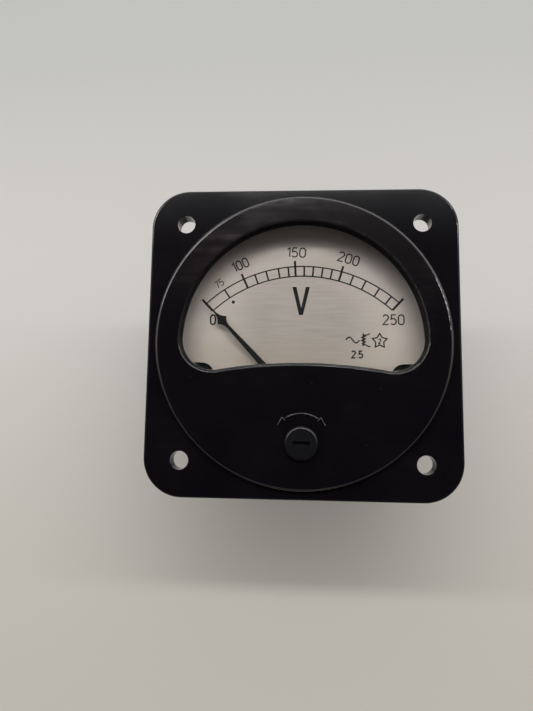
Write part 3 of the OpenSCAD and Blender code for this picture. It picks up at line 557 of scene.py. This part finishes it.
def threaded_stud(tree, given):
    """A rod along Y with a thread turned into it, chamfered at its far end, and a hexagonal head."""
    radius, length = given["Radius"], given["Length"]
    rod = tree.add("GeometryNodeMeshCylinder", {"fill_type": "NGON"}, {
        "Vertices": given["Sides"], "Side Segments": given["Rings"], "Radius": radius, "Depth": length})
    place = tree.add("ShaderNodeSeparateXYZ", None, {0: tree.add("GeometryNodeInputPosition")})
    along = place.part("Z")
    turn = place.part("Y").math("ARCTAN2", place) / math.tau
    phase = (along / given["Pitch"] - turn).math("FRACT")
    flat_crest = 0.12
    steepness = 1.32
    groove = (2.0 * phase - 1.0).math("ABSOLUTE")
    groove = ((groove - flat_crest) * steepness).math("MAXIMUM", 0.0).math("MINIMUM", 1.0)
    end = (along - length / 2.0 + given["Chamfer"]).math("MAXIMUM", 0.0)
    turned = (radius - given["Depth"] * groove).math("MINIMUM", radius - end)
    share = turned / radius
    scaled = tree.add("ShaderNodeCombineXYZ", None, {
        "X": place * share, "Y": place.part("Y") * share, "Z": along})
    rod = tree.add("GeometryNodeSetPosition", None, {"Geometry": rod, "Position": scaled})
    lower = tree.add("ShaderNodeCombineXYZ", None, {"Z": -0.5 * (length + given["Head thickness"])})
    head = tree.add("GeometryNodeMeshCylinder", {"fill_type": "NGON"}, {
        "Vertices": 6, "Radius": given["Head radius"], "Depth": given["Head thickness"]})
    head = tree.add("GeometryNodeTransform", None, {"Geometry": head, "Translation": lower})
    both = tree.add("GeometryNodeJoinGeometry", None, {"Geometry": [rod, head]})
    lying = tree.add("GeometryNodeTransform", None, {"Geometry": both, "Rotation": (-math.pi / 2, 0.0, 0.0)})
    return tree.add("GeometryNodeInstanceOnPoints", None, {"Points": given["Seeds"], "Instance": lying})


stud_low, stud_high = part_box("terminal_studs")
stud_radius = 2.5 * mm
pitch = 0.8 * mm
thread_depth = 0.44 * mm
chamfer = 0.5 * mm
rings_per_turn = 8
across_flats = 8.0 * mm
head_thickness = 3.0 * mm
head_radius = across_flats / math.sqrt(3.0)
stud_x = stud_high.x - head_radius
stud_z = (stud_low.z + stud_high.z) / 2
shank = stud_high.y - stud_low.y - head_thickness
sharp_angle = 0.75
studs = grow("threaded_studs", [(way * stud_x, stud_high.y - shank / 2, stud_z) for way in (-1, 1)], {
    "Radius": stud_radius, "Length": shank, "Pitch": pitch, "Depth": thread_depth, "Chamfer": chamfer,
    "Head radius": head_radius, "Head thickness": head_thickness, "Sides": 40,
    "Rings": round(rings_per_turn * shank / pitch)}, threaded_stud, brass)
studs.data.shade_smooth()
studs.data.set_sharp_from_angle(angle=sharp_angle)
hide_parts("terminal_studs")
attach(studs, "case")


# ---------- The coil and the resistor ----------
# The coil is enamelled copper on a bakelised-paper bobbin under varnished cloth; the series resistor is
# resistance wire on a porcelain spool. Stiff wires in varnished sleeves join them to the studs, whose
# gaskets are red fibre.
def wound(name, colour, other, wire, metallic):
    """Round wire laid turn by turn along Y, with each turn's crest in relief."""
    material, tree = finish_named(name)
    where = tree.on_piece()
    along = tree.add("ShaderNodeSeparateXYZ", None, {0: where}).part("Y")
    crest = (along * (math.tau / wire)).math("SINE")
    cloud = tree.add("ShaderNodeTexNoise", None, {"Vector": where, "Scale": 500.0, "Detail": 3.0})
    tone = tree.mix(tree.smooth(cloud, 0.35, 0.7), colour, other)
    turns = tree.add("ShaderNodeBump", None, {"Strength": 0.8, "Distance": 0.2 * wire, "Height": crest})
    surface(tree, tree.add("ShaderNodeBsdfPrincipled", None, {
        "Base Color": tone, "Metallic": metallic, "Roughness": 0.3 + 0.1 * cloud, "Normal": turns}))
    return material


dress(plain("bakelised_paper", (0.12, 0.05, 0.02, 1), (0.2, 0.09, 0.035, 1), 0.4, 0.0, 400.0, 0.01 * mm),
      "coil_bobbin")
dress(wound("enamelled_copper", (0.3, 0.08, 0.03, 1), (0.42, 0.13, 0.045, 1), 0.3 * mm, 0.6), "coil_winding")
dress(plain("varnished_cloth", (0.42, 0.3, 0.11, 1), (0.55, 0.42, 0.18, 1), 0.45, 0.0, 800.0, 0.03 * mm),
      "coil_wrap")
dress(plain("porcelain", (0.74, 0.71, 0.64, 1), (0.8, 0.78, 0.72, 1), 0.16, 0.0, 120.0), "resistor_spool")
dress(wound("resistance_wire", (0.16, 0.12, 0.1, 1), (0.24, 0.19, 0.16, 1), 0.2 * mm, 0.8),
      "resistor_winding")
dress(plain("varnished_sleeve", (0.45, 0.32, 0.1, 1), (0.58, 0.44, 0.18, 1), 0.4, 0.0, 800.0, 0.02 * mm),
      "lead_wires")
dress(plain("red_fibre", (0.2, 0.02, 0.012, 1), (0.3, 0.04, 0.025, 1), 0.6, 0.0, 900.0, 0.02 * mm),
      "stud_gaskets")


# ---------- The dial plate ----------
# A thin aluminium plate is brushed from side to side and silvered matt. It is painted lighter out towards
# its rim, around a point a little above the middle: painted light against the shade of the window's walls.
# It has gone a little yellow, most of all along its lower edge.
brushed_dark = (0.283, 0.242, 0.225, 1.0)
brushed_pale = (0.338, 0.291, 0.272, 1.0)
painted_rim_light = (0.54, 0.465, 0.435, 1.0)
yellow_tone = (0.33, 0.268, 0.222, 1.0)
rim_light_centre = 6.0 * mm
dial_paint, tree = finish_named("silvered_dial")
where = tree.on_piece()
drawn = tree.add("ShaderNodeMapping", None, {"Vector": where, "Scale": (80.0, 1.0, 2000.0)})
brush = tree.add("ShaderNodeTexNoise", None, {
    "Vector": drawn, "Scale": 1.0, "Detail": 4.0, "Roughness": 0.7})
age = tree.add("ShaderNodeTexNoise", None, {"Vector": where, "Scale": 45.0, "Detail": 4.0, "Roughness": 0.6})
grain = tree.add("ShaderNodeTexNoise", None, {"Vector": where, "Scale": 2600.0, "Detail": 1.0})
place = tree.add("ShaderNodeSeparateXYZ", None, {0: where})
height = place.part("Z")
over_middle = height - rim_light_centre
from_middle = (place * place + over_middle * over_middle).math("SQRT")
yellowed = 0.35 * tree.smooth(age, 0.45, 0.75) + 0.45 * (1.0 - tree.smooth(height, -8.0 * mm, 8.0 * mm))
tone = tree.mix(tree.smooth(brush, 0.3, 0.7), brushed_dark, brushed_pale)
# painted light: the plate turns lighter away from a point above its middle, against the walls' shade on its
# sides and top
tone = tree.mix(0.8 * tree.smooth(from_middle, 10.0 * mm, 28.0 * mm), tone, painted_rim_light)
tone = tree.mix(yellowed, tone, yellow_tone)
fine = tree.add("ShaderNodeBump", None, {
    "Strength": 0.4, "Distance": 0.004 * mm, "Height": brush + 0.5 * grain})
surface(tree, tree.add("ShaderNodeBsdfPrincipled", None, {
    "Base Color": tone, "Metallic": 0.2, "Roughness": 0.48 + 0.12 * (grain - 0.5), "Normal": fine}))
dress(dial_paint, "dial_plate")


# ---------- The dial's print ----------
# The scale, its numerals and the signs are printed on the plate in thick black ink. The numerals over the
# arc have faded brown. The print sits a little low, so the arc's centre is just under the spindle.
spindle_low, spindle_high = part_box("spindle")
print_drop = 0.2 * mm
scale_centre = (0.0, (spindle_low.z + spindle_high.z) / 2 - print_drop)
plate_front = -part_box("dial_plate")[0].y
print_back = plate_front - 0.01 * mm
print_front = plate_front + 0.025 * mm
black_ink = matt_black("black_ink", (0.006, 0.0055, 0.006, 1), (0.014, 0.013, 0.013, 1))
brown_ink = matt_black("faded_ink", (0.014, 0.012, 0.011, 1), (0.035, 0.03, 0.026, 1))


def round_arc(cx, cz, rx, rz, start, end, steps=10):
    """An elliptic arc of a numeral, with angles in degrees, counted from the right, upwards."""
    turns = [math.radians(start + (end - start) * k / steps) for k in range(steps + 1)]
    return [(cx + rx * math.cos(a), cz + rz * math.sin(a)) for a in turns]


# each numeral is one stroke in a box one high: its width for spacing, its points, and whether it is closed
numerals = {
    "0": (0.5, round_arc(0.25, 0.73, 0.25, 0.27, 180, 0) + round_arc(0.25, 0.27, 0.25, 0.27, 0, -180), True),
    "1": (0.22, [(0.0, 0.78), (0.22, 1.0), (0.22, 0.0)], False),
    "2": (0.5, round_arc(0.25, 0.74, 0.24, 0.26, 165, -25) + [(0.0, 0.0), (0.5, 0.0)], False),
    "5": (0.48, [(0.45, 1.0), (0.07, 1.0), (0.03, 0.56)] + round_arc(0.22, 0.31, 0.26, 0.31, 115, -145),
          False),
    "7": (0.46, [(0.0, 1.0), (0.46, 1.0), (0.14, 0.0)], False),
    ".": (0.06, [(0.0, 0.0), (0.06, 0.0)], False),
}


def number(text, centre, height, width, turn=0.0, spread=1.0):
    """The outlines of a number about its centre. Width is the stroke's, turn is clockwise in degrees, and
    spread widens the numerals."""
    gap = 0.2
    total = sum(numerals[c][0] for c in text) + gap * (len(text) - 1)
    at, outlines = -total / 2, []
    sin, cos = math.sin(math.radians(turn)), math.cos(math.radians(turn))
    for c in text:
        wide, points, closed = numerals[c]
        placed = []
        for x, z in points:
            x, z = (x + at) * height * spread, (z - 0.5) * height
            placed.append((centre[0] + x * cos + z * sin, centre[1] - x * sin + z * cos))
        outlines.append(stroke(placed, width, closed))
        at += wide + gap
    return outlines


def print_piece(name, outlines, ink):
    """Outlines printed on the dial plate, as one piece."""
    piece = solid_from(name, outlines, print_back, print_front, ink)
    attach(piece, "case")
    return piece


def tick(tree, given):
    """A thin bar at each seed, which points away from the pivot."""
    size = tree.add("ShaderNodeCombineXYZ", None, {
        "X": given["Width"], "Y": given["Thickness"], "Z": given["Length"]})
    bar = tree.add("GeometryNodeMeshCube", None, {"Size": size})
    lift = tree.add("ShaderNodeCombineXYZ", None, {"Z": 0.5 * given["Length"]})
    bar = tree.add("GeometryNodeTransform", None, {"Geometry": bar, "Translation": lift})
    away = tree.add("ShaderNodeVectorMath", {"operation": "SUBTRACT"}, {
        0: tree.add("GeometryNodeInputPosition"), 1: given["Pivot"]})
    turn = tree.add("FunctionNodeAlignRotationToVector", {"axis": "Z"}, {"Vector": away})
    return tree.add("GeometryNodeInstanceOnPoints", None, {
        "Points": given["Seeds"], "Instance": bar, "Rotation": turn})


scale_outer = 38.0 * mm
scale_inner = 35.3 * mm
long_end = 39.6 * mm
# a moving-iron scale is uneven, so each mark has its own place: degrees from straight up, by volts
volts = {0: -43.3, 75: -33.8, 100: -24.75, 110: -19.9, 120: -15.1, 130: -10.0, 140: -5.9, 150: -3.0,
         160: 0.7, 170: 4.45, 180: 8.3, 190: 12.2, 200: 16.05, 210: 21.1, 220: 26.55, 230: 32.75,
         240: 38.55, 250: 42.6}
long_marks = (0, 100, 150, 200, 250)
short_marks = [mark for mark in volts if mark not in long_marks]
scale_line = 0.34 * mm
short_width = 0.44 * mm
long_width = 0.58 * mm
print_piece("scale_arcs", [stroke(arc(scale_centre, radius, volts[0], volts[250], 64), scale_line)
                           for radius in (scale_outer, scale_inner)], black_ink)
print_y = -(print_back + print_front) / 2
for name, marks, reach, width in (("scale_short_ticks", short_marks, scale_outer, short_width),
                                  ("scale_long_ticks", long_marks, long_end, long_width)):
    feet = [on_circle(scale_centre, scale_inner, volts[mark]) for mark in marks]
    ticks = grow(name, [(x, print_y, z) for x, z in feet], {
        "Pivot": (0.0, print_y, scale_centre[1]), "Width": width, "Length": reach - scale_inner,
        "Thickness": print_front - print_back}, tick, black_ink)
    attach(ticks, "case")

bold = 0.36 * mm
print_piece("scale_numbers",
            number("150", (-1.7 * mm, 25.0 * mm), 2.55 * mm, bold, 2.0, 1.2)
            + number("100", (-16.95 * mm, 21.6 * mm), 2.55 * mm, bold, -25.0, 1.05)
            + number("200", (12.4 * mm, 23.2 * mm), 2.6 * mm, bold, 17.0, 1.13)
            + number("250", (24.15 * mm, 6.55 * mm), 2.6 * mm, bold, 0.0, 1.12)
            + number("75", (-22.6 * mm, 16.4 * mm), 1.9 * mm, 0.23 * mm, -35.0), brown_ink)


def in_mm(*points):
    """Points given in millimetres, in metres."""
    return [(x * mm, z * mm) for x, z in points]


# the V of the unit
signs = [in_mm((-2.7, 15.45), (-1.62, 15.45), (-0.3, 9.7), (0.95, 15.45), (2.0, 15.45), (0.2, 7.75),
               (-0.85, 7.75))]
# alternating current
wave_steps = 24
shares = [k / wave_steps for k in range(wave_steps + 1)]
wave = [(11.6 + 3.6 * share, 1.05 + 0.75 * math.sin(math.tau * share)) for share in shares]
signs.append(stroke(in_mm(*wave), bold))
# a moving-iron movement: a coil with two leads
signs.append(stroke(in_mm((16.2, 2.85), (16.2, 2.35), (16.6, 2.1), (15.9, 1.75), (16.6, 1.35), (15.9, 0.95),
                          (16.6, 0.55), (16.0, 0.15), (16.2, -0.25), (16.2, -0.55)), 0.46 * mm))
signs.append(stroke(in_mm((16.4, 2.25), (17.3, 2.5), (18.0, 2.85)), 0.32 * mm))
signs.append(stroke(in_mm((16.4, 0.05), (17.2, -0.5), (18.1, -0.75)), 0.32 * mm))
# the test voltage: a star with its kilovolts inside
star_centre = (20.5 * mm, 0.85 * mm)
star_outer = 2.0 * mm
star_inner = 0.55 * star_outer
star = [on_circle(star_centre, star_inner if k % 2 else star_outer, 36.0 * k) for k in range(10)]
signs.append(stroke(star, 0.34 * mm, True))
signs += number("2", (20.5 * mm, 0.75 * mm), 1.25 * mm, 0.28 * mm)
# the accuracy class, the zero under the scale's end, and the dot beside the scale
signs += number("2.5", (14.55 * mm, -2.8 * mm), 1.8 * mm, 0.38 * mm, 0.0, 1.1)
signs += number("0", (-24.1 * mm, 6.4 * mm), 2.6 * mm, 0.44 * mm)
signs.append(arc((-18.65 * mm, 11.25 * mm), 0.45 * mm, 0.0, 345.0, 23))
print_piece("signs", signs, black_ink)


# ---------- The pointer ----------
# The knife pointer is stamped from thin sheet and lacquered matt black. It is pressed on the spindle beside
# the hub, whose arms carry the small weights that balance it.
dress(matt_black("pointer_lacquer", (0.006, 0.0055, 0.006, 1), (0.011, 0.01, 0.01, 1)), "pointer")
